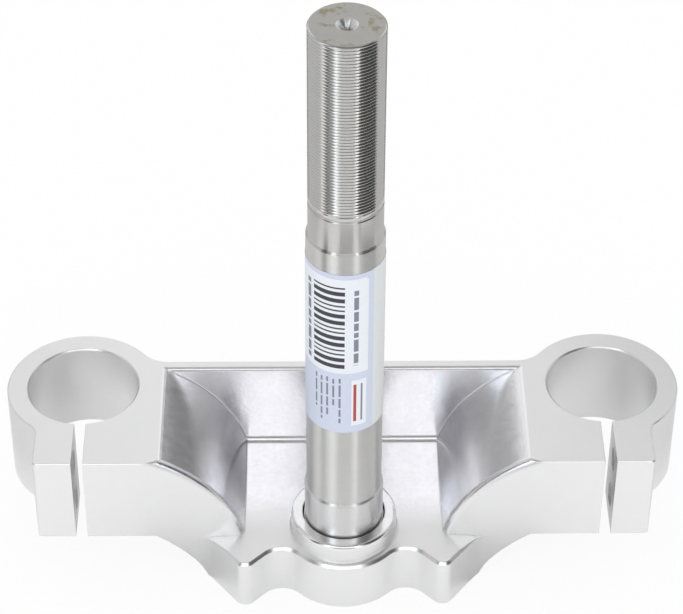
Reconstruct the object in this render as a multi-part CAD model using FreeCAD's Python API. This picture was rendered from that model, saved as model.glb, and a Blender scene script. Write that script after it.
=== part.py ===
"""Lower triple clamp: a cast and machined aluminium yoke with its steel steering stem and a paper label.

Millimetres, +Z up. The origin is where the stem axis meets the flat underside of the yoke's base.
+X runs towards the right fork tube and +Y towards the fork tubes, so the stem stands in front of them.
"""
import FreeCAD, Part
import math
import os

from FreeCAD import Vector

# Fork clamps
FORK_BORE_D = 41.0
CLAMP_WALL = 8.0
CLAMP_H = 37.0
FORK_SPACING = 195.0
FORK_SETBACK = 37.5
BORE_CHAMFER = 0.6
EDGE_C = 0.4

# Split ears and their pinch-bolt holes
SLIT_W = 4.3
EAR_T = 14.2
EAR_REACH = 42.5
EAR_CORNER_R = 1.6
EAR_ROOT_R = 5.0
BOLT_HOLE_D = 9.0
BOLT_TAP_D = 6.8
BOLT_TAP_DEPTH = 21.0
BOLT_SEAT_D = 16.0
BOLT_SEAT_DEPTH = 1.0
BOLT_SPREAD = 18.0

# Cross member between the clamps
BACK_FACE_Y = 51.0
BACK_WALL_T = 4.4
BACK_BLEND_R = 12.0
POCKET_LAND = 9.2
POCKET_TOP_ANGLE = 24.5
POCKET_FOOT_R = 2.2
POCKET_LIP_R = 1.4
FLOOR_HALF = 36.8
RIDGE_R = 2.8

# Dropped base under the floor
BASE_T = 20.0
BASE_HALF = 50.6
ARM_ROOT_INSET = 2.2
UNDERSIDE_TURN = 26.9

# Steering stop lobes and the round nose between them, which run back into the base by the sink
LOBE_TIP_X = 37.0
LOBE_TIP_REACH = 17.4
LOBE_TIP_R = 4.0
LOBE_ROOT_R = 8.0
LOBE_BEVEL_ANGLE = 6.0
LOBE_BEVEL_START_X = 38.7
NOTCH_R = 9.0
NOTCH_INSET = 1.74
NOSE_LAND = 1.2
LOBE_SINK = 4.4
FRONT_DRAFT = 3.0
RIM_C = 1.0
FOOT_C = 0.5

# Boss round the stem
BOSS_D = 39.2
BOSS_H = 8.0
BOSS_EDGE_R = 1.4
BOSS_FOOT_R = 1.5
STEM_HOLE_RELIEF = 0.3

# Steering stem
STEM_LENGTH = 246.5
FLANGE_D = 34.0
FLANGE_T = 4.0
PRESS_D = 30.0
PRESS_SHY = 1.2
SEAT_D = 29.0
SEAT_LENGTH = 16.2
SEAT_CHAMFER = 0.7
SHAFT_D = 27.5
SHAFT_CHAMFER = 1.0
THREAD_D = 26.0
THREAD_LENGTH = 70.5
RELIEF_DEPTH = 0.3
RELIEF_W = 1.2
NECK_D = 26.0
NECK_LENGTH = 13.6
TOP_CHAMFER = 0.8
CENTRE_HOLE_D = 2.8
CENTRE_HOLE_DEPTH = 7.0
CENTRE_CONE_D = 7.2

# Label wrapped on the shaft
LABEL_T = 0.15
LABEL_GLUE_T = 0.05
LABEL_HEIGHT = 72.7
LABEL_WIDTH = 62.0
LABEL_FROM_SHOULDER = 9.0

# Worked out from the sizes above
bore_r = FORK_BORE_D / 2
clamp_r = bore_r + CLAMP_WALL
fork_x = FORK_SPACING / 2
front_y = FORK_SETBACK - EAR_REACH
ear_out_x = fork_x + SLIT_W / 2 + EAR_T
floor_z = BASE_T
top_z = BASE_T + CLAMP_H
bolt_y = front_y + (EAR_REACH - bore_r) / 2
pocket_half = fork_x - bore_r - POCKET_LAND
arm_root_x = pocket_half + ARM_ROOT_INSET
boss_r = BOSS_D / 2
nose_r = boss_r + BOSS_FOOT_R + NOSE_LAND
press_r = PRESS_D / 2
seat_r = SEAT_D / 2
shaft_r = SHAFT_D / 2
lip_z = floor_z + BOSS_H
press_top_z = lip_z - PRESS_SHY
seat_top_z = lip_z + SEAT_LENGTH
thread_foot_z = STEM_LENGTH - THREAD_LENGTH
shoulder_z = thread_foot_z - NECK_LENGTH
wall_y = BACK_FACE_Y - BACK_WALL_T
front_spread = BASE_T * math.tan(math.radians(FRONT_DRAFT))
past = 1.0
plane_gap = 1e-5
corner_gap = 0.1
front_gap = 0.01
arch_share = 0.9


def arc_through(start, end, turn, side):
    """An arc from start to end in the XZ plane, turning by this many degrees and bulging to one side."""
    chord = end - start
    sagitta = chord.Length / 2 * math.tan(math.radians(turn) / 4)
    normal = Vector(-chord.z, 0, chord.x).normalize() * side
    middle = (start + end) * 0.5 + normal * sagitta
    return Part.Arc(start, middle, end).toShape()


def prism(edges, vector):
    """A solid from a closed loop of edges, moved along a vector."""
    wire = Part.Wire(Part.__sortEdges__(edges))
    return Part.Face(wire).extrude(vector)


def line(a, b):
    return Part.LineSegment(a, b).toShape()


def upright(radius, x, y, low, high):
    return Part.makeCylinder(radius, high - low, Vector(x, y, low))


def block(x0, x1, y0, y1, z0, z1):
    return Part.makeBox(x1 - x0, y1 - y0, z1 - z0, Vector(x0, y0, z0))


def on_plane(edge, axis, value):
    """Whether an edge lies in the plane where this axis (0, 1 or 2) has this value."""
    ends = (edge.valueAt(edge.FirstParameter), edge.valueAt(edge.LastParameter))
    return all(abs(point[axis] - value) < plane_gap for point in ends + (middle_of(edge),))


def middle_of(edge):
    return edge.valueAt((edge.FirstParameter + edge.LastParameter) / 2)


def round_uprights(shape, x, y, radius):
    """Round the upright edges, or nearly upright ones, whose upper ends are at (x, y) and at (-x, y) in plan."""
    found = []
    for edge in shape.Edges:
        ends = sorted((vertex.Point for vertex in edge.Vertexes), key=lambda point: point.z)
        off = math.hypot(abs(ends[-1].x) - x, ends[-1].y - y)
        if ends[-1].z - ends[0].z > past and off < corner_gap:
            found.append(edge)
    return shape.makeFillet(radius, found)


def spin(points_and_arcs):
    """A solid of revolution about the Z axis from a closed loop of edges in the XZ plane."""
    wire = Part.Wire(Part.__sortEdges__(points_and_arcs))
    return Part.Face(wire).revolve(Vector(0, 0, 0), Vector(0, 0, 1), 360)


def loop(points):
    """Straight edges through (radius, height) points, closed."""
    places = [Vector(r, 0, z) for r, z in points]
    return [line(a, b) for a, b in zip(places, places[1:] + places[:1])]


def clamp_level():
    """Both rings with their ears and the bar that joins them, at full clamp height."""
    bar = block(-fork_x, fork_x, front_y, BACK_FACE_Y, floor_z, top_z)
    for side in (-1, 1):
        ring = upright(clamp_r, side * fork_x, FORK_SETBACK, floor_z, top_z)
        near, far = sorted((side * fork_x, side * ear_out_x))
        ear = block(near, far, front_y, FORK_SETBACK, floor_z, top_z)
        bar = bar.fuse(ear).fuse(ring)
    bar = bar.removeSplitter()
    back_rise = BACK_FACE_Y - FORK_SETBACK
    back_x = fork_x - math.sqrt(clamp_r ** 2 - back_rise ** 2)
    ear_y = FORK_SETBACK - math.sqrt(clamp_r ** 2 - (ear_out_x - fork_x) ** 2)
    bar = round_uprights(bar, back_x, BACK_FACE_Y, BACK_BLEND_R)
    bar = round_uprights(bar, ear_out_x, ear_y, EAR_ROOT_R)
    return round_uprights(bar, ear_out_x, front_y, EAR_CORNER_R)


def pocket():
    """The hollow between the arms: arched flanks that meet the top at a set angle, and a flat floor."""
    start_y = front_y - past
    top_left, top_right = Vector(-pocket_half, start_y, top_z), Vector(pocket_half, start_y, top_z)
    foot_left, foot_right = Vector(-FLOOR_HALF, start_y, floor_z), Vector(FLOOR_HALF, start_y, floor_z)
    above = Vector(0, 0, past)
    flank_angle = math.degrees(math.atan2(CLAMP_H, pocket_half - FLOOR_HALF))
    turn = 2 * (flank_angle - POCKET_TOP_ANGLE)
    edges = [
        arc_through(foot_left, top_left, turn, -1),
        line(top_left, top_left + above),
        line(top_left + above, top_right + above),
        line(top_right + above, top_right),
        arc_through(top_right, foot_right, turn, -1),
        line(foot_right, foot_left),
    ]
    hollow = prism(edges, Vector(0, wall_y - start_y, 0))
    foot = [e for e in hollow.Edges if on_plane(e, 1, wall_y) and on_plane(e, 2, floor_z)]
    return hollow.makeFillet(POCKET_FOOT_R, foot)


def rounded_ridges(shape):
    """The arms' front edges, where the flanks of the pocket meet the front face, are rounded over."""
    ridges = []
    for edge in shape.Edges:
        box = edge.BoundBox
        arched = on_plane(edge, 1, front_y) and box.ZLength > CLAMP_H * arch_share and box.XLength > past
        if arched:
            ridges.append(edge)
    return shape.makeFillet(RIDGE_R, ridges)


def lobe_outline(spread):
    """A right-hand lobe in plan with its corners sharp and its flanks moved out by the spread: root, tip, inner."""
    notch_x, notch_y = notch_corner()
    tip_x, tip_y = LOBE_TIP_X, front_y - LOBE_TIP_REACH
    outer = (LOBE_TIP_REACH, LOBE_TIP_X - BASE_HALF)
    inner = (tip_y - notch_y, notch_x - tip_x)
    outer_length, inner_length = math.hypot(*outer), math.hypot(*inner)
    ox, oy = outer[0] / outer_length, outer[1] / outer_length
    ix, iy = inner[0] / inner_length, inner[1] / inner_length
    share = spread / (1 + ox * ix + oy * iy)
    inner_x = notch_x + (notch_y - front_y) * iy / ix
    return [
        (BASE_HALF + spread / ox, front_y),
        (tip_x + share * (ox + ix), tip_y + share * (oy + iy)),
        (inner_x + spread / ix, front_y),
    ]


def notch_corner():
    """Where a lobe's inner flank meets the round nose, before the notch is rounded."""
    corner_y = front_y - NOTCH_INSET
    return math.sqrt(nose_r ** 2 - corner_y ** 2), corner_y


def lobe(side, behind):
    """One stop lobe with drafted flanks, run back into the base as far as this."""
    rings = []
    for spread, z in ((front_spread, 0), (0, floor_z)):
        root, tip, inner = lobe_outline(spread)
        plan = [root, tip, inner, (inner[0], behind), (root[0], behind)]
        rings.append([Vector(side * x, y, z) for x, y in plan])
    low, high = rings
    faces = [Part.Face(Part.makePolygon(ring + ring[:1])) for ring in rings]
    for i in range(len(low)):
        j = (i + 1) % len(low)
        faces.append(Part.Face(Part.makePolygon([low[i], low[j], high[j], high[i], low[i]])))
    solid = Part.Solid(Part.Shell(faces))
    if solid.Volume < 0:
        solid.reverse()
    return solid


def base_front():
    """What stands in front of the arms, as high as the base: two pointed lobes and a round nose, all drafted."""
    behind = front_y + LOBE_SINK
    nose = Part.makeCone(nose_r + front_spread, nose_r, floor_z)
    front = block(-arm_root_x, arm_root_x, front_y, behind, 0, floor_z).fuse(nose)
    for side in (-1, 1):
        front = front.fuse(lobe(side, behind))
    front = front.removeSplitter()
    root, tip, _ = lobe_outline(0)
    front = round_uprights(front, *root, LOBE_ROOT_R)
    front = round_uprights(front, *tip, LOBE_TIP_R)
    front = round_uprights(front, *notch_corner(), NOTCH_R)
    rim = [e for e in front.Edges if on_plane(e, 2, floor_z) and middle_of(e).y < front_y - front_gap]
    return front.makeChamfer(RIM_C, rim)


def base():
    """The dropped base under the floor and the arms, with its lower edges bevelled."""
    slab = block(-arm_root_x, arm_root_x, front_y, BACK_FACE_Y, 0, floor_z)
    whole = slab.fuse(base_front()).common(underside()).removeSplitter()
    foot = [e for e in whole.Edges if on_plane(e, 2, 0)]
    return whole.makeChamfer(FOOT_C, foot)


def underside():
    """Everything above the arched undersides of the arms and the flat foot of the base."""
    start_y = min(lobe_outline(front_spread)[1][1], -nose_r - front_spread) - past
    root_left, root_right = Vector(-arm_root_x, start_y, floor_z), Vector(arm_root_x, start_y, floor_z)
    foot_left, foot_right = Vector(-BASE_HALF, start_y, 0), Vector(BASE_HALF, start_y, 0)
    edges = [
        arc_through(root_left, foot_left, UNDERSIDE_TURN, 1),
        line(foot_left, foot_right),
        arc_through(foot_right, root_right, UNDERSIDE_TURN, 1),
        line(root_right, root_left),
    ]
    return prism(edges, Vector(0, BACK_FACE_Y - start_y + past, 0))


def lobe_bevel(side):
    """The shallow slope on a lobe, just in front of the foot of the arm's front face."""
    tip_y = front_y - LOBE_TIP_REACH
    start = Vector(side * LOBE_BEVEL_START_X, front_y, floor_z)
    flank_x = side * (LOBE_TIP_X + BASE_HALF) / 2
    toward = Vector(flank_x, (front_y + tip_y) / 2 - past, floor_z)
    heading = math.atan2(toward.y - start.y, toward.x - start.x)
    size = BASE_HALF
    slope = Part.makeBox(3 * size, 2 * size, size, Vector(-size, 0 if side > 0 else -2 * size, 0))
    slope.rotate(Vector(0, 0, 0), Vector(1, 0, 0), -side * LOBE_BEVEL_ANGLE)
    slope.rotate(Vector(0, 0, 0), Vector(0, 0, 1), math.degrees(heading))
    slope.translate(start)
    near, far = sorted((0, side * arm_root_x))
    return slope.common(block(near, far, front_y - size, front_y, 0, 2 * size))


def boss():
    """The turned boss round the stem, with a rounded lip and a hollow foot that runs out into the floor."""
    foot_out = boss_r + BOSS_FOOT_R
    foot_high = floor_z + BOSS_FOOT_R
    sink = BASE_T / 2

    def at(radius, z):
        return Vector(radius, 0, z)

    turn = math.sqrt(0.5)
    foot_mid = at(foot_out - BOSS_FOOT_R * turn, foot_high - BOSS_FOOT_R * turn)
    lip_mid = at(boss_r - BOSS_EDGE_R * (1 - turn), lip_z - BOSS_EDGE_R * (1 - turn))
    return spin([
        line(at(0, floor_z - sink), at(foot_out, floor_z - sink)),
        line(at(foot_out, floor_z - sink), at(foot_out, floor_z)),
        Part.Arc(at(foot_out, floor_z), foot_mid, at(boss_r, foot_high)).toShape(),
        line(at(boss_r, foot_high), at(boss_r, lip_z - BOSS_EDGE_R)),
        Part.Arc(at(boss_r, lip_z - BOSS_EDGE_R), lip_mid, at(boss_r - BOSS_EDGE_R, lip_z)).toShape(),
        line(at(boss_r - BOSS_EDGE_R, lip_z), at(0, lip_z)),
        line(at(0, lip_z), at(0, floor_z - sink)),
    ])


def stem_hole():
    """The press bore for the stem, relieved at the top and opened at the bottom for the stem's flange."""
    flange_r = FLANGE_D / 2
    relief_r = press_r + STEM_HOLE_RELIEF
    return spin(loop([
        (0, -past),
        (flange_r, -past),
        (flange_r, FLANGE_T),
        (press_r, FLANGE_T),
        (press_r, press_top_z),
        (relief_r, press_top_z),
        (relief_r, lip_z + past),
        (0, lip_z + past),
    ]))


def fork_bore(side):
    """One fork bore with its chamfers, with the slit that splits its ear."""
    lead = BORE_CHAMFER
    bore = spin(loop([
        (0, floor_z - past),
        (bore_r + lead, floor_z - past),
        (bore_r + lead, floor_z),
        (bore_r, floor_z + lead),
        (bore_r, top_z - lead),
        (bore_r + lead, top_z),
        (bore_r + lead, top_z + past),
        (0, top_z + past),
    ]))
    bore.translate(Vector(side * fork_x, FORK_SETBACK, 0))
    half = SLIT_W / 2
    slit_x = side * fork_x
    slit = block(slit_x - half, slit_x + half, front_y - past, FORK_SETBACK, floor_z - past, top_z + past)
    return bore.fuse(slit)


def bolt_hole(side, z):
    """A pinch-bolt hole along X: seat and clearance in the outer ear, then the tapped length."""
    inward = Vector(-side, 0, 0)
    outer = Vector(side * (ear_out_x + past), bolt_y, z)
    slit = Vector(side * fork_x, bolt_y, z)
    seat = Part.makeCylinder(BOLT_SEAT_D / 2, past + BOLT_SEAT_DEPTH, outer, inward)
    clear = Part.makeCylinder(BOLT_HOLE_D / 2, EAR_T + SLIT_W / 2 + past, outer, inward)
    tap = Part.makeCylinder(BOLT_TAP_D / 2, SLIT_W / 2 + BOLT_TAP_DEPTH, slit, inward)
    return seat.fuse(clear).fuse(tap)


def yoke():
    """The whole casting with its machined bores."""
    upper = rounded_ridges(clamp_level().cut(pocket()))
    body = upper.fuse(base()).fuse(boss()).removeSplitter()
    rims = [e for e in body.Edges if on_plane(e, 2, top_z)]
    lip = [e for e in rims if on_plane(e, 1, wall_y)]
    body = body.makeFillet(POCKET_LIP_R, lip)
    rims = [e for e in body.Edges if on_plane(e, 2, top_z) and not on_plane(e, 1, wall_y + POCKET_LIP_R)]
    body = body.makeChamfer(EDGE_C, rims)
    for side in (-1, 1):
        body = body.cut(lobe_bevel(side))
        body = body.cut(fork_bore(side))
        for level in (-1, 1):
            body = body.cut(bolt_hole(side, floor_z + CLAMP_H / 2 + level * BOLT_SPREAD / 2))
    return body.cut(stem_hole()).removeSplitter()


def steering_stem():
    """The turned stem: flange, press length, bearing seat, shaft, neck, thread and a centre-drilled top."""
    thread_r, neck_r, flange_r = THREAD_D / 2, NECK_D / 2, FLANGE_D / 2
    relief_r = neck_r - RELIEF_DEPTH
    cone_r, drill_r = CENTRE_CONE_D / 2, CENTRE_HOLE_D / 2
    drill_z = STEM_LENGTH - CENTRE_HOLE_DEPTH
    return spin(loop([
        (0, 0),
        (flange_r, 0),
        (flange_r, FLANGE_T),
        (press_r, FLANGE_T),
        (press_r, press_top_z),
        (seat_r, press_top_z),
        (seat_r, seat_top_z - SEAT_CHAMFER),
        (shaft_r, seat_top_z),
        (shaft_r, shoulder_z - SHAFT_CHAMFER),
        (neck_r, shoulder_z),
        (neck_r, thread_foot_z - RELIEF_W),
        (relief_r, thread_foot_z - RELIEF_W + RELIEF_DEPTH),
        (relief_r, thread_foot_z - RELIEF_DEPTH),
        (thread_r, thread_foot_z + thread_r - neck_r),
        (thread_r, STEM_LENGTH - TOP_CHAMFER),
        (thread_r - TOP_CHAMFER, STEM_LENGTH),
        (cone_r, STEM_LENGTH),
        (drill_r, STEM_LENGTH - cone_r + drill_r),
        (drill_r, drill_z),
        (0, drill_z - drill_r),
    ]))


def label():
    """The paper label, wrapped round the shaft with its middle towards the front."""
    top = shoulder_z - LABEL_FROM_SHOULDER
    inner = shaft_r + LABEL_GLUE_T
    outer = inner + LABEL_T
    corners = [(inner, top - LABEL_HEIGHT), (outer, top - LABEL_HEIGHT), (outer, top), (inner, top)]
    wire = Part.Wire(Part.__sortEdges__(loop(corners)))
    sweep = math.degrees(LABEL_WIDTH / outer)
    strip = Part.Face(wire).revolve(Vector(0, 0, 0), Vector(0, 0, 1), sweep)
    strip.rotate(Vector(0, 0, 0), Vector(0, 0, 1), -90 - sweep / 2)
    return strip


def main():
    os.makedirs("parts", exist_ok=True)
    for name, make in (("yoke", yoke), ("steering_stem", steering_stem), ("label", label)):
        shape = make()
        shape.exportStep("parts/" + name + ".step")
        box = shape.BoundBox
        print(name, "valid", shape.isValid(), "solids", len(shape.Solids), "mm3", round(shape.Volume),
              "size", round(box.XLength, 2), round(box.YLength, 2), round(box.ZLength, 2))


main()
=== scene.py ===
"""Looks for the lower triple clamp: bright aluminium, a turned stem with a real thread, and a plain label."""
import math

import bpy
from mathutils import Matrix, Vector


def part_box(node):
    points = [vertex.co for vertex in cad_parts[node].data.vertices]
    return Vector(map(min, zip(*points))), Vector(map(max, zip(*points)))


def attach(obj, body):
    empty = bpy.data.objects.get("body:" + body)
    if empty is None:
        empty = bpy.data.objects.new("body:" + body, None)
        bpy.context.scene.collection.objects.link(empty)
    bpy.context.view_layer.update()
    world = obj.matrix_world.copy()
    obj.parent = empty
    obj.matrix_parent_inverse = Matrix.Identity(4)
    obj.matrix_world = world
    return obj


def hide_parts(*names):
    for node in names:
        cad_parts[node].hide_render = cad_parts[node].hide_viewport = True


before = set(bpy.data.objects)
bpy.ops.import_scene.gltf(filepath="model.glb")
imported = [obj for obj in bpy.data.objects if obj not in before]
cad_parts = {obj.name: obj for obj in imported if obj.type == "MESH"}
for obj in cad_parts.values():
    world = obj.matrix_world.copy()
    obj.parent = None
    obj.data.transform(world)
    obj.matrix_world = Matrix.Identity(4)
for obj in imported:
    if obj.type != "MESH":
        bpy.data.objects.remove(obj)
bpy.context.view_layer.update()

MM = 0.001
X, Z = 0, 2


def span(node, axis):
    """How far a CAD node reaches along an axis, from and to, in millimetres to the hundredth."""
    return [round(corner[axis] / MM, 2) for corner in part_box(node)]


# The yoke, in millimetres: its top and the foot of the bevel there, the boss's lip, the pocket's floor
# and the foot of the bevel in front of it
TOP_Z = span("yoke", Z)[1]
EDGE_Z, LIP_Z, FLOOR_Z, RIM_Z = TOP_Z - 0.4, 28.0, 20.0, 19.0
# The pocket's front, its back wall and its half width, then the boss and the foot of its bright ring
FRONT_Y, WALL_Y, POCKET_END_X = -5.0, 46.6, 69.0
BOSS_R, RING_FOOT_Z = 19.6, 26.4

# The stem, in millimetres: radii and heights from the flange to the top, then its thread and centre drilling
FLANGE_R, STEM_TOP_Z = span("steering_stem", X)[1], span("steering_stem", Z)[1]
PRESS_R, SEAT_R, SHAFT_R, NECK_R = 15.0, 14.5, 13.75, 13.0
FLANGE_TOP_Z, PRESS_TOP_Z, SEAT_TOP_Z, SHOULDER_Z = 4.0, 26.8, 44.2, 162.4
THREAD_LENGTH, THREAD_PITCH, THREAD_DEPTH, RELIEF_DEPTH, END_CHAMFER = 70.5, 1.25, 0.62, 0.3, 0.6
THREAD_FOOT_Z = STEM_TOP_Z - THREAD_LENGTH
CONE_R, CONE_DEPTH = 3.6, 2.2
DRILL_R, DRILL_DEPTH, DRILL_TIP_DEPTH = 1.4, 7.0, 7.8
# A ring this small closes a turned end without points that meet
AXIS_R = 0.01

# The label, in millimetres: its place on the shaft, its outside and its paper, and how far it reaches
# to each side of the front
LABEL_BOTTOM_Z, LABEL_TOP_Z = span("label", Z)
LABEL_TALL = LABEL_TOP_Z - LABEL_BOTTOM_Z
LABEL_R, PAPER_DEPTH, LABEL_HALF = 13.94, 0.13, 31.0

# The label's inks, in the order of its materials; the last is the plain paper right of the print, painted
# greyer than the white paper as painted shade
WHITE, LAVENDER, BLACK, PRINT, RED, SHADED_MARGIN = range(6)

# The photograph's camera: place in metres, tilts in degrees, and the focal length and the width in pixels
CAMERA_PLACE = (-0.012353, -0.697616, 0.727252)
CAMERA_PITCH, CAMERA_YAW, CAMERA_ROLL = -40.675, 0.911, -0.341
FOCAL_PIXELS, WIDTH_PIXELS, SENSOR_MM = 2643.238, 683.0, 36.0

# What the plain sky gives to rough surfaces, and how bright it looks in a reflection
SKY_LIGHT, SKY_SHINE = 1.15, 0.62

# The floor's grey, and the share of plain white that it has in a reflection and to the camera
FLOOR_GREY, FLOOR_SHINE, FLOOR_SHOWN = 0.80, 0.20, 0.90

# The height above the floor that lamps and cards face, and the heights of the sheets that lie on it
AIM_Z, WEDGE_Z, SHEET_Z = 80.0, 0.4, 0.3


# Meshes

def link(obj):
    bpy.context.scene.collection.objects.link(obj)
    return obj


def mesh_object(name, verts, faces, materials, indices=None, smooth=True, sharp_angle=30.0):
    """A mesh in the row frame from points in millimetres."""
    mesh = bpy.data.meshes.new(name)
    mesh.from_pydata([(x * MM, y * MM, z * MM) for x, y, z in verts], [], faces)
    for mat in materials:
        mesh.materials.append(mat)
    if indices:
        mesh.polygons.foreach_set("material_index", indices)
    mesh.polygons.foreach_set("use_smooth", [smooth] * len(mesh.polygons))
    mesh.update()
    if smooth:
        mesh.set_sharp_from_angle(angle=math.radians(sharp_angle))
    return link(bpy.data.objects.new(name, mesh))


def on_circle(r, angle, z):
    return r * math.cos(angle), r * math.sin(angle), z


def ring_of(r, z, segments):
    """The points of a closed ring round the stem's axis."""
    return [on_circle(r, 2 * math.pi * k / segments, z) for k in range(segments)]


def join_rings(lower, upper, segments):
    """The faces between two closed rings, each given by the index of its first point."""
    faces = []
    for k in range(segments):
        after = (k + 1) % segments
        faces.append((lower + k, lower + after, upper + after, upper + k))
    return faces


def rectangle(left, right, near, far, z=0.0):
    return [(left, near, z), (right, near, z), (right, far, z), (left, far, z)]


# Node helpers

def new_material(name):
    mat = bpy.data.materials.new(name)
    mat.use_nodes = True
    return mat, mat.node_tree, mat.node_tree.nodes["Principled BSDF"]


def add(tree, kind, values=None, **settings):
    """A node with its settings, and with values or links put on its inputs."""
    made = tree.nodes.new(kind)
    for key, value in settings.items():
        setattr(made, key, value)
    for key, value in (values or {}).items():
        put(tree, made.inputs[key], value)
    return made


def put(tree, socket, value):
    if isinstance(value, bpy.types.NodeSocket):
        tree.links.new(value, socket)
    else:
        socket.default_value = value


def maths(tree, operation, a, b=0.0):
    return add(tree, "ShaderNodeMath", {0: a, 1: b}, operation=operation).outputs[0]


def product(tree, first, *others):
    for other in others:
        first = maths(tree, "MULTIPLY", first, other)
    return first


def plus(tree, base, amount, pattern):
    """The base with this amount of the pattern added."""
    return maths(tree, "ADD", base, maths(tree, "MULTIPLY", pattern, amount))


def step(tree, value, low, high):
    """0 below low and 1 above high, smooth between; with low above high it falls instead."""
    ramp = add(tree, "ShaderNodeMapRange", {"Value": value, "From Min": low, "From Max": high},
               interpolation_type="SMOOTHSTEP")
    return ramp.outputs[0]


def band(tree, value, low, high, margin, soft):
    """1 between low and high and 0 beyond; its soft edges start a margin inside each."""
    rise = step(tree, value, low + margin, low + margin + soft)
    fall = step(tree, value, high - margin, high - margin - soft)
    return product(tree, rise, fall)


def blend(tree, factor, a, b):
    made = add(tree, "ShaderNodeMix", {"Factor": factor}, data_type="FLOAT")
    put(tree, made.inputs[2], a)
    put(tree, made.inputs[3], b)
    return made.outputs[0]


def blend_colour(tree, factor, a, b):
    """A colour between two, each given as red, green and blue or as a link."""
    made = add(tree, "ShaderNodeMix", {"Factor": factor}, data_type="RGBA")
    for socket, colour in ((made.inputs[6], a), (made.inputs[7], b)):
        put(tree, socket, (*colour, 1) if isinstance(colour, tuple) else colour)
    return made.outputs[2]


def noise(tree, vector, scale, detail, rough):
    values = {"Vector": vector, "Scale": scale, "Detail": detail, "Roughness": rough}
    return add(tree, "ShaderNodeTexNoise", values).outputs[0]


def stretched(tree, vector, scale):
    return add(tree, "ShaderNodeMapping", {"Vector": vector, "Scale": scale}).outputs[0]


def place(tree):
    """The object-space position, its three parts in millimetres, and the distance from the stem's axis."""
    vector = add(tree, "ShaderNodeTexCoord").outputs["Object"]
    parts = add(tree, "ShaderNodeSeparateXYZ", {0: vector}).outputs
    x, y, z = (maths(tree, "MULTIPLY", part, 1.0 / MM) for part in parts)
    squares = maths(tree, "ADD", maths(tree, "POWER", x, 2.0), maths(tree, "POWER", y, 2.0))
    return vector, (x, y, z), maths(tree, "SQRT", squares)


def bumped(tree, shader, height, strength, depth, **more):
    """Bumps from a height on the shader's normal, as deep as a depth in millimetres."""
    values = {"Strength": strength, "Distance": depth * MM, "Height": height, **more}
    put(tree, shader.inputs["Normal"], add(tree, "ShaderNodeBump", values).outputs[0])


# Materials

def cast_aluminium():
    """Satin on the machined outside, bright and uneven in the pocket, smooth on the boss and the bevels."""
    mat, tree, shader = new_material("cast_aluminium")
    vector, (x, y, z), reach = place(tree)

    # Where the finishes are, from 0 to 1: the boss, the pocket, the two bevels, and the gap round the stem,
    # whose wall is painted near black as painted shade
    ring = product(tree, step(tree, reach, BOSS_R + 0.5, BOSS_R + 0.2),
                   step(tree, z, RING_FOOT_Z - 0.4, RING_FOOT_Z + 0.2))
    deep = step(tree, y, FRONT_Y + 0.5, FRONT_Y + 22.0)
    flank = product(tree, step(tree, y, FRONT_Y + 0.1, FRONT_Y + 1.0),
                    step(tree, z, FLOOR_Z + 0.3, FLOOR_Z + 2.0))
    polished = product(tree, maths(tree, "MAXIMUM", deep, flank),
                       step(tree, y, WALL_Y + 2.0, WALL_Y + 1.0),
                       step(tree, z, TOP_Z - 0.1, TOP_Z - 0.7),
                       step(tree, maths(tree, "ABSOLUTE", x), POCKET_END_X, POCKET_END_X - 1.0))
    rim = product(tree, band(tree, z, RIM_Z, FLOOR_Z, margin=0.02, soft=0.10),
                  step(tree, y, FRONT_Y - 0.5, FRONT_Y - 1.0))
    bevel = maths(tree, "MAXIMUM", band(tree, z, EDGE_Z, TOP_Z, margin=0.01, soft=0.07), rim)
    # Painted shade: the wall of the gap round the stem, below the lip
    gap_shade = product(tree, step(tree, reach, PRESS_R + 0.36, PRESS_R + 0.31),
                    step(tree, z, LIP_Z - 0.25, LIP_Z - 0.40))

    # Patterns
    fine = noise(tree, vector, scale=1500.0, detail=3.0, rough=0.6)
    cloud = noise(tree, vector, scale=95.0, detail=4.0, rough=0.55)
    lumps = noise(tree, stretched(tree, vector, (1.0, 1.0, 0.45)), scale=260.0, detail=3.0, rough=0.5)
    grain = noise(tree, stretched(tree, vector, (30.0, 2200.0, 2200.0)), scale=1.0, detail=3.0, rough=0.6)
    mottle = step(tree, noise(tree, vector, scale=620.0, detail=4.0, rough=0.7), 0.36, 0.64)
    lumps_inside = product(tree, lumps, polished)
    mottle_inside = product(tree, mottle, polished)

    satin = plus(tree, 0.36, 0.12, cloud)
    bright = plus(tree, 0.13, 0.16, lumps)
    rough = blend(tree, polished, satin, bright)
    rough = blend(tree, maths(tree, "MAXIMUM", ring, bevel), rough, blend(tree, bevel, 0.18, 0.28))
    put(tree, shader.inputs["Roughness"], blend(tree, gap_shade, rough, 0.9))

    tone = blend_colour(tree, cloud, (0.90, 0.90, 0.90), (0.94, 0.94, 0.94))
    tone = blend_colour(tree, product(tree, polished, 0.6), tone, (0.93, 0.92, 0.96))
    tone = blend_colour(tree, product(tree, mottle_inside, 0.3), tone, (0.80, 0.80, 0.82))
    # The gap's wall is painted near black: painted shade in the gap between stem and boss
    put(tree, shader.inputs["Base Color"], blend_colour(tree, gap_shade, tone, (0.015, 0.015, 0.015)))
    shader.inputs["Metallic"].default_value = 1.0

    height = plus(tree, product(tree, fine, 0.10), 0.10, grain)
    height = plus(tree, height, 1.3, lumps_inside)
    height = plus(tree, height, 0.24, mottle_inside)
    edge = add(tree, "ShaderNodeBevel", {"Radius": blend(tree, polished, 0.35 * MM, 0.9 * MM)}, samples=6)
    bumped(tree, shader, height, strength=0.5, depth=0.06, Normal=edge.outputs[0])
    return mat


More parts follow.
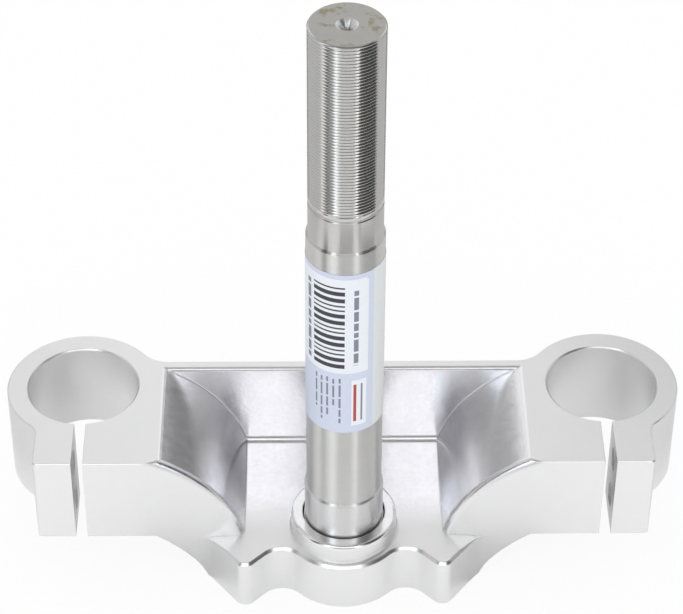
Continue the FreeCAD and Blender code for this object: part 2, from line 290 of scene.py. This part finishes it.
def turned_steel(name, colour, rough, rings, anisotropy):
    """Steel from the lathe: fine rings round the stem and slightly uneven gloss."""
    mat, tree, shader = new_material(name)
    vector = place(tree)[0]
    ring = noise(tree, stretched(tree, vector, (60.0, 60.0, 5200.0)), scale=1.0, detail=3.0, rough=0.6)
    cloud = noise(tree, vector, scale=140.0, detail=3.0, rough=0.5)
    dark = tuple(0.86 * part for part in colour)
    put(tree, shader.inputs["Base Color"], blend_colour(tree, product(tree, ring, cloud), colour, dark))
    put(tree, shader.inputs["Roughness"], plus(tree, rough - 0.05, 0.12, ring))
    shader.inputs["Metallic"].default_value = 1.0
    shader.inputs["Anisotropic"].default_value = anisotropy
    shader.inputs["Anisotropic Rotation"].default_value = 0.25
    tangent = add(tree, "ShaderNodeTangent", direction_type="RADIAL", axis="Z")
    put(tree, shader.inputs["Tangent"], tangent.outputs[0])
    bumped(tree, shader, ring, strength=rings, depth=0.02)
    return mat


def stem_end_steel():
    """The sawn and faced end of the stem: dull, with faint rings and a few brown stains."""
    mat, tree, shader = new_material("stem_end")
    vector, _, reach = place(tree)
    outward = add(tree, "ShaderNodeCombineXYZ", {0: reach}).outputs[0]
    waves = {"Vector": outward, "Scale": 1.1, "Distortion": 1.0, "Detail": 2.0}
    ring = add(tree, "ShaderNodeTexWave", waves).outputs["Fac"]
    stain = step(tree, noise(tree, vector, scale=190.0, detail=4.0, rough=0.65), 0.53, 0.66)
    metal = blend_colour(tree, ring, (0.42, 0.41, 0.385), (0.48, 0.47, 0.445))
    stained = blend_colour(tree, product(tree, stain, 0.8), metal, (0.20, 0.17, 0.09))
    put(tree, shader.inputs["Base Color"], stained)
    put(tree, shader.inputs["Roughness"], blend(tree, stain, 0.46, 0.75))
    put(tree, shader.inputs["Metallic"], blend(tree, stain, 0.85, 0.2))
    bumped(tree, shader, ring, strength=0.3, depth=0.03)
    return mat


def paper(name, colour):
    """Coated label paper or the ink on it, with a faint fibre grain."""
    mat, tree, shader = new_material(name)
    fibre = noise(tree, place(tree)[0], scale=900.0, detail=3.0, rough=0.6)
    dull = tuple(0.94 * part for part in colour)
    put(tree, shader.inputs["Base Color"], blend_colour(tree, fibre, dull, colour))
    put(tree, shader.inputs["Roughness"], plus(tree, 0.36, 0.12, fibre))
    bumped(tree, shader, fibre, strength=0.15, depth=0.03)
    return mat


# The stem

def stem_body(materials):
    """Everything on the stem but its thread: flange, bearing seat, shaft, shoulder and neck."""
    groove_r = NECK_R - RELIEF_DEPTH
    # Each row is a radius, a height and the material of the band above it
    profile = [
        (AXIS_R, 0.0, 0),
        (FLANGE_R, 0.0, 0),
        (FLANGE_R, FLANGE_TOP_Z, 0),
        (PRESS_R, FLANGE_TOP_Z, 0),
        (PRESS_R, PRESS_TOP_Z - 0.2, 0),
        (PRESS_R - 0.2, PRESS_TOP_Z, 0),
        (SEAT_R, PRESS_TOP_Z, 1),
        (SEAT_R, SEAT_TOP_Z - 0.85, 1),
        (SEAT_R - 0.12, SEAT_TOP_Z - 0.55, 1),
        (SHAFT_R + 0.1, SEAT_TOP_Z - 0.1, 2),
        (SHAFT_R, SEAT_TOP_Z + 0.1, 2),
        (SHAFT_R, SHOULDER_Z - 1.1, 2),
        (SHAFT_R - 0.1, SHOULDER_Z - 0.85, 0),
        (NECK_R + 0.12, SHOULDER_Z - 0.1, 0),
        (NECK_R, SHOULDER_Z + 0.15, 0),
        (NECK_R, THREAD_FOOT_Z - 1.2, 0),
        (groove_r, THREAD_FOOT_Z - 0.9, 0),
        (groove_r, THREAD_FOOT_Z - 0.3, 0),
        (groove_r - 0.05, THREAD_FOOT_Z + 0.4, 0),
    ]
    segments = 160
    verts, faces, slots = [], [], []
    for r, z, _ in profile:
        verts += ring_of(r, z, segments)
    for row, (_, _, slot) in enumerate(profile[:-1]):
        faces += join_rings(row * segments, (row + 1) * segments, segments)
        slots += [slot] * segments
    return mesh_object("stem_body", verts, faces, materials, slots)


def stem_thread(materials):
    """The fine thread as real geometry, with the chamfered and centre-drilled end."""
    segments, climb = 128, 8
    start, high = THREAD_FOOT_Z + 0.05, STEM_TOP_Z - END_CHAMFER
    turns = round((high - start) / THREAD_PITCH) - 1
    pitch = (high - start) / (turns + 1)
    rows = turns * climb

    # Two closed rings at the foot, the rows of the helix and a closed ring on top. The first turn has
    # no depth, and the second fades it in.
    verts = ring_of(NECK_R - RELIEF_DEPTH, THREAD_FOOT_Z - 0.3, segments)
    verts += ring_of(NECK_R, THREAD_FOOT_Z, segments)
    for row in range(rows):
        crest = 0.5 + 0.5 * math.cos(2 * math.pi * row / climb)
        for k in range(segments):
            z = start + pitch * (row / climb + k / segments)
            fade = min(1.0, max(0.0, (z - start - pitch) / pitch))
            r = NECK_R - THREAD_DEPTH * (1.0 - crest ** 0.8) * fade
            verts.append(on_circle(r, 2 * math.pi * k / segments, z))
    verts += ring_of(NECK_R, high, segments)

    # Faces within the rows, then over the seam, where the end of a row meets a row one turn further up
    levels = [level * segments for level in range(rows + 3)]
    foot, first, top, last = levels[1], levels[2], levels[-1], segments - 1
    faces = [(last, 0, foot, foot + last)]
    for lower, upper in zip(levels, levels[1:]):
        faces += [(lower + k, lower + k + 1, upper + k + 1, upper + k) for k in range(last)]
    for row in range(rows - 1 - climb):
        left, right = first + row * segments + last, first + (row + climb) * segments
        faces.append((left, right, right + segments, left + segments))
    first_turn = [first + row * segments for row in range(climb + 1)]
    faces.append((foot + last, foot, *first_turn, first + last))
    last_turn = [first + row * segments + last for row in range(rows - 1, rows - 2 - climb, -1)]
    faces.append((first + (rows - 1) * segments, top, top + last, *last_turn))
    slots = [0] * len(faces)

    # The end: a radius, a height and the material of the band below each ring
    rim_r = NECK_R - END_CHAMFER
    end = [
        (NECK_R - 0.05, high + 0.05, 0),
        (rim_r, STEM_TOP_Z, 0),
        (rim_r - 0.1, STEM_TOP_Z, 1),
        (CONE_R + 0.25, STEM_TOP_Z, 1),
        (CONE_R + 0.15, STEM_TOP_Z, 1),
        (CONE_R, STEM_TOP_Z - 0.05, 2),
        (DRILL_R, STEM_TOP_Z - CONE_DEPTH, 2),
        (DRILL_R, STEM_TOP_Z - DRILL_DEPTH, 3),
        (AXIS_R, STEM_TOP_Z - DRILL_TIP_DEPTH, 3),
    ]
    for r, z, slot in end:
        base = len(verts)
        verts += ring_of(r, z, segments)
        faces += join_rings(base - segments, base, segments)
        slots += [slot] * segments
    return mesh_object("stem_thread", verts, faces, materials, slots, sharp_angle=60.0)


# The label, across it in millimetres to the right of the front's middle and along it from the top edge down

def cuts(low, high, marks, longest):
    """Sorted grid lines from low to high that include every mark, no further apart than longest."""
    lines = sorted({low, high, *[m for m in marks if low < m < high]})
    out = [lines[0]]
    for a, b in zip(lines, lines[1:]):
        count = max(1, math.ceil((b - a) / longest))
        out += [a + (b - a) * (i + 1) / count for i in range(count)]
    return out


def bars(low, high):
    """Plain upright strokes of a made-up code, as (from, to) distances from the top edge."""
    found, at, turn = [], low, 0
    while at < high:
        width = 0.7 + 0.55 * ((turn * 5 + turn * turn) % 4)
        found.append((at, at + width))
        at += width + 0.8 + 0.45 * ((turn * 3 + 1) % 3)
        turn += 1
    return found


def words(low, high, seed):
    """Dashes that stand for a line of small print, between two distances from the top edge."""
    found, at, turn = [], low, seed
    while at < high:
        length = 2.2 + 1.1 * ((turn * 7 + seed) % 4)
        found.append((at, min(high, at + length)))
        at += length + 0.9
        turn += 1
    return found


def label_marks():
    """Every printed rectangle: (left, right, from, to, ink). A later one covers those before it."""
    white_top, white_right, white_foot, print_right = 2.0, 8.4, 44.6, 10.7
    marks = [
        (-LABEL_HALF, print_right, 0.0, white_top, LAVENDER),
        (white_right, print_right, white_top, white_foot, LAVENDER),
        (-LABEL_HALF, print_right, white_foot, LABEL_TALL, LAVENDER),
        # Right of the print the plain paper is painted greyer: painted shade on the right side of the shaft
        (print_right, LABEL_HALF, 0.0, LABEL_TALL, SHADED_MARGIN),
    ]

    # The bars and a line of print on either side of them
    marks += [(-12.4, -0.3, a, b, BLACK) for a, b in bars(5.4, 42.0)]
    marks += [(-15.9, -14.0, a, b, PRINT) for a, b in words(6.0, 42.0, 2)]
    marks += [(2.9, 4.6, a, b, PRINT) for a, b in words(7.0, 41.0, 1)]

    # The small white field with its red and dark stripes
    stripe_top, stripe_foot = 50.0, 67.5
    marks += [
        (2.2, 7.8, 48.0, 69.5, WHITE),
        (2.9, 4.0, stripe_top, stripe_foot, RED),
        (5.6, 6.3, stripe_top, stripe_foot, PRINT),
    ]

    # The rounded corner of the big white field, in strips
    corner, strips = 1.8, 6
    for strip in range(strips):
        rise = corner * (strip + 0.5) / strips
        width = corner - math.sqrt(corner ** 2 - (corner - rise) ** 2)
        top = white_top + corner * strip / strips
        marks.append((white_right - width, white_right, top, top + corner / strips, LAVENDER))

    # The small print's lines, from right to left
    line_width, line_step = 0.75, 2.3
    lines = ((47.0, 69.0), (47.5, 60.0), (47.0, 66.0), (47.5, 68.0), (47.0, 63.0))
    for line, (low, high) in enumerate(lines):
        right = -1.6 - line_step * line
        marks += [(right - line_width, right, a, b, PRINT) for a, b in words(low, high, line)]
    return marks


def ink_at(marks, u, d):
    """The ink at a place on the label, that of the last rectangle that covers it."""
    found = WHITE
    for left, right, top, bottom, ink in marks:
        if left < u < right and top < d < bottom:
            found = ink
    return found


def label(materials):
    """The printed label, wrapped round the shaft; each printed field is a group of faces with its own ink."""
    marks = label_marks()
    across = cuts(-LABEL_HALF, LABEL_HALF, [m[0] for m in marks] + [m[1] for m in marks], 1.0)
    along = cuts(0.0, LABEL_TALL, [m[2] for m in marks] + [m[3] for m in marks], 4.0)
    verts, faces, slots = [], [], []
    for r in (LABEL_R, LABEL_R - PAPER_DEPTH):
        for d in along:
            verts += [on_circle(r, u / LABEL_R - math.pi / 2, LABEL_TOP_Z - d) for u in across]
    wide, tall = len(across), len(along)
    for j in range(tall - 1):
        for i in range(wide - 1):
            a = j * wide + i
            faces.append((a + 1, a, a + wide, a + wide + 1))
            slots.append(ink_at(marks, (across[i] + across[i + 1]) / 2, (along[j] + along[j + 1]) / 2))

    # The paper's edge: left, right, top and bottom
    back, side, foot = wide * tall, wide - 1, (tall - 1) * wide
    rim = [(j * wide, (j + 1) * wide) for j in range(tall - 1)]
    rim += [((j + 1) * wide + side, j * wide + side) for j in range(tall - 1)]
    rim += [(i + 1, i) for i in range(side)]
    rim += [(foot + i, foot + i + 1) for i in range(side)]
    for a, b in rim:
        faces.append((a, a + back, b + back, b))
        slots.append(WHITE)
    return mesh_object("label_print", verts, faces, materials, slots)


# Stage, lamps and camera

def seen_directly(tree):
    """1 for camera, glossy and transmission rays, which see the plain white set."""
    path = add(tree, "ShaderNodeLightPath").outputs
    either = maths(tree, "MAXIMUM", path["Is Camera Ray"], path["Is Glossy Ray"])
    return maths(tree, "MAXIMUM", either, path["Is Transmission Ray"])


def matt_grey(name, grey, rough):
    """A material without any gloss."""
    mat, tree, shader = new_material(name)
    shader.inputs["Base Color"].default_value = (grey, grey, grey, 1)
    shader.inputs["Roughness"].default_value = rough
    shader.inputs["Specular IOR Level"].default_value = 0.0
    return mat, tree, shader


def make_floor():
    """A floor that is nearly plain white to the camera, with a faint shadow."""
    mat, tree, shader = matt_grey("studio_floor", FLOOR_GREY, rough=0.9)
    glow = add(tree, "ShaderNodeEmission", {"Color": (1, 1, 1, 1), "Strength": 1.0})
    camera_ray = add(tree, "ShaderNodeLightPath").outputs["Is Camera Ray"]
    glow_share = blend(tree, camera_ray, product(tree, seen_directly(tree), FLOOR_SHINE), FLOOR_SHOWN)
    mix = add(tree, "ShaderNodeMixShader", {0: glow_share})
    tree.links.new(shader.outputs[0], mix.inputs[1])
    tree.links.new(glow.outputs[0], mix.inputs[2])
    put(tree, tree.nodes["Material Output"].inputs["Surface"], mix.outputs[0])
    size = 4000.0
    plane = mesh_object("floor", rectangle(-size, size, -size, size), [(0, 1, 2, 3)], [mat], smooth=False)
    plane.location.z = -0.1 * MM


def make_world():
    """Plain white behind the object, with other levels for light and for reflections."""
    world = bpy.data.worlds.new("studio")
    bpy.context.scene.world = world
    world.use_nodes = True
    tree = world.node_tree
    back = tree.nodes["Background"]
    back.inputs["Color"].default_value = (1, 1, 1, 1)
    camera_ray = add(tree, "ShaderNodeLightPath").outputs["Is Camera Ray"]
    sky = blend(tree, seen_directly(tree), SKY_LIGHT, SKY_SHINE)
    put(tree, back.inputs["Strength"], blend(tree, camera_ray, sky, 1.0))


def aimed(obj, azimuth, elevation, distance):
    """Put it round the object and face it to the middle, at degrees to the right of the front and up."""
    middle = Vector((0, 0, AIM_Z * MM))
    across, up = math.radians(azimuth), math.radians(elevation)
    way = Vector((math.sin(across) * math.cos(up), -math.cos(across) * math.cos(up), math.sin(up)))
    obj.location = middle + way * distance
    obj.rotation_euler = (-way).to_track_quat("-Z", "Y").to_euler()


def softbox(name, azimuth, elevation, distance, width, height, radiance, colour=(1.0, 1.0, 1.0), lit=False):
    """A lamp, sized in metres, that either lights rough surfaces or shows in reflections."""
    light = bpy.data.lights.new(name, "AREA")
    light.color = colour
    light.shape = "RECTANGLE"
    light.size, light.size_y = width, height
    light.energy = radiance * math.pi * width * height
    lamp = link(bpy.data.objects.new(name, light))
    lamp.visible_camera = False
    lamp.visible_diffuse = lit
    lamp.visible_glossy = not lit
    aimed(lamp, azimuth, elevation, distance)


def grey_paper(name, corners, grey):
    """A sheet that only reflections see, from corners in millimetres."""
    mat, _, _ = matt_grey(name, grey, rough=1.0)
    made = mesh_object(name, corners, [(0, 1, 2, 3)], [mat], smooth=False)
    made.visible_camera = False
    made.visible_diffuse = False
    made.visible_shadow = False
    return made


def card(name, azimuth, elevation, distance, width, height, grey):
    """A grey card that stands round the object, sized in metres."""
    x, y = width / 2 / MM, height / 2 / MM
    aimed(grey_paper(name, rectangle(-x, x, -y, y), grey), azimuth, elevation, distance)


def floor_wedge(name, low, high, near, far, grey):
    """A sheet on the floor between two directions in degrees and two distances in millimetres."""
    corners = []
    for azimuth, reach in ((low, near), (high, near), (high, far), (low, far)):
        corners.append(on_circle(reach, math.radians(azimuth - 90.0), WEDGE_Z))
    grey_paper(name, corners, grey)


def make_camera():
    """The photograph's camera, from its fitted place, tilts and focal length."""
    pitch, yaw, roll = (math.radians(a) for a in (CAMERA_PITCH, CAMERA_YAW, CAMERA_ROLL))
    forward = Vector((math.sin(yaw) * math.cos(pitch), math.cos(yaw) * math.cos(pitch), math.sin(pitch)))
    right = forward.cross(Vector((0, 0, 1))).normalized()
    down = forward.cross(right)
    across = right * math.cos(roll) + down * math.sin(roll)
    below = down * math.cos(roll) - right * math.sin(roll)
    turn = Matrix((across, -below, -forward)).transposed().to_4x4()
    data = bpy.data.cameras.new("camera")
    data.sensor_fit = "HORIZONTAL"
    data.sensor_width = SENSOR_MM
    data.lens = SENSOR_MM * FOCAL_PIXELS / WIDTH_PIXELS
    data.clip_start = 0.05
    camera = link(bpy.data.objects.new("camera", data))
    camera.matrix_world = Matrix.Translation(CAMERA_PLACE) @ turn
    bpy.context.scene.camera = camera


# Putting it together

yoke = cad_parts["yoke"]
yoke.data.materials.clear()
yoke.data.materials.append(cast_aluminium())

turned = turned_steel("turned_steel", (0.63, 0.62, 0.605), rough=0.24, rings=0.3, anisotropy=0.94)
ground = turned_steel("ground_steel", (0.77, 0.765, 0.755), rough=0.33, rings=0.2, anisotropy=0.94)
seat = turned_steel("polished_seat", (0.84, 0.84, 0.84), rough=0.33, rings=0.06, anisotropy=0.94)
threaded = turned_steel("threaded_steel", (0.66, 0.655, 0.64), rough=0.13, rings=0.0, anisotropy=0.5)

body = stem_body([turned, seat, ground])
thread = stem_thread([threaded, stem_end_steel(), seat, turned])
printed = label([
    paper("label_white", (0.72, 0.76, 0.80)),
    paper("label_lavender", (0.55, 0.60, 0.72)),
    paper("label_bars", (0.035, 0.035, 0.045)),
    paper("label_small_print", (0.20, 0.21, 0.27)),
    paper("label_red", (0.42, 0.05, 0.035)),
    # Plain paper painted greyer than the white: painted shade
    paper("label_margin_shaded", (0.66, 0.68, 0.69)),
])
for piece, slot_name in ((body, "turned_steel"), (thread, "turned_steel"), (printed, "label_paper")):
    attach(piece, "root")
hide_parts("steering_stem")
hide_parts("label")

make_floor()
make_world()

# Lamps: azimuth and elevation in degrees, distance, width and height in metres, radiance
softbox("front_box", -9.0, 42.0, 1.3, 2.2, 0.85, 0.64, lit=True)
softbox("front_glow", -4.0, 41.0, 1.3, 1.20, 0.64, 0.66)
softbox("left_strip", -33.5, 35.0, 1.2, 0.22, 1.20, 1.35, (0.82, 0.93, 1.0))
softbox("right_strip", 30.5, 35.0, 1.2, 0.13, 1.20, 1.60)
softbox("side_strip", -84.0, 54.0, 1.2, 0.14, 0.50, 0.75)
softbox("back_box", 180.0, 41.0, 1.3, 2.2, 0.90, 0.34)

# Cards that darken reflections: azimuth and elevation in degrees, distance, width and height in metres, grey
card("card_above", 180.0, 89.0, 1.5, 1.7, 1.5, 0.45)
card("card_right", 66.0, 36.0, 0.7, 0.55, 0.88, 0.08)
card("card_left", -58.0, 25.0, 0.7, 0.20, 0.80, 0.12)
card("card_front_low", -2.0, 4.0, 1.0, 0.70, 0.42, 0.25)
card("card_front_high", -2.0, 74.0, 1.0, 0.60, 0.40, 0.25)
card("card_right_back", 144.0, 17.0, 0.45, 0.25, 0.22, 0.20)
card("card_left_back", -140.0, 15.0, 0.45, 0.22, 0.20, 0.35)

# Sheets on the floor that the metal reflects. The wedges run between two directions in degrees and two
# distances in millimetres, and the other sheets from left to right and from near to far.
floor_wedge("wedge_right", 42.0, 84.0, 400.0, 900.0, 0.08)
floor_wedge("wedge_left", -62.0, -49.0, 400.0, 900.0, 0.15)
# The middle wedge stands for a shadow on the floor in front of the object: painted shadow, seen only in
# reflections
floor_wedge("wedge_middle_shadow", -17.0, 21.0, 260.0, 620.0, 0.36)
floor_wedge("wedge_gap", 34.0, 44.0, 215.0, 620.0, 0.40)
sheets = {
    "sheet_back": (-900.0, 900.0, 95.0, 900.0),
    "sheet_left": (-900.0, -150.0, -40.0, 95.0),
    "sheet_right": (150.0, 900.0, -20.0, 95.0),
    # The root sheets stand for the object's contact shadow on the floor in front of the arms' roots: painted
    # shadow, seen only in reflections
    "sheet_root_shadow_left": (-76.0, -50.0, -26.0, 20.0),
    "sheet_root_shadow_right": (48.0, 76.0, -26.0, 20.0),
}
for name, (left, right, near, far) in sheets.items():
    grey_paper(name, rectangle(left, right, near, far, SHEET_Z), 0.60)
make_camera()

bpy.context.scene.view_settings.view_transform = "Standard"
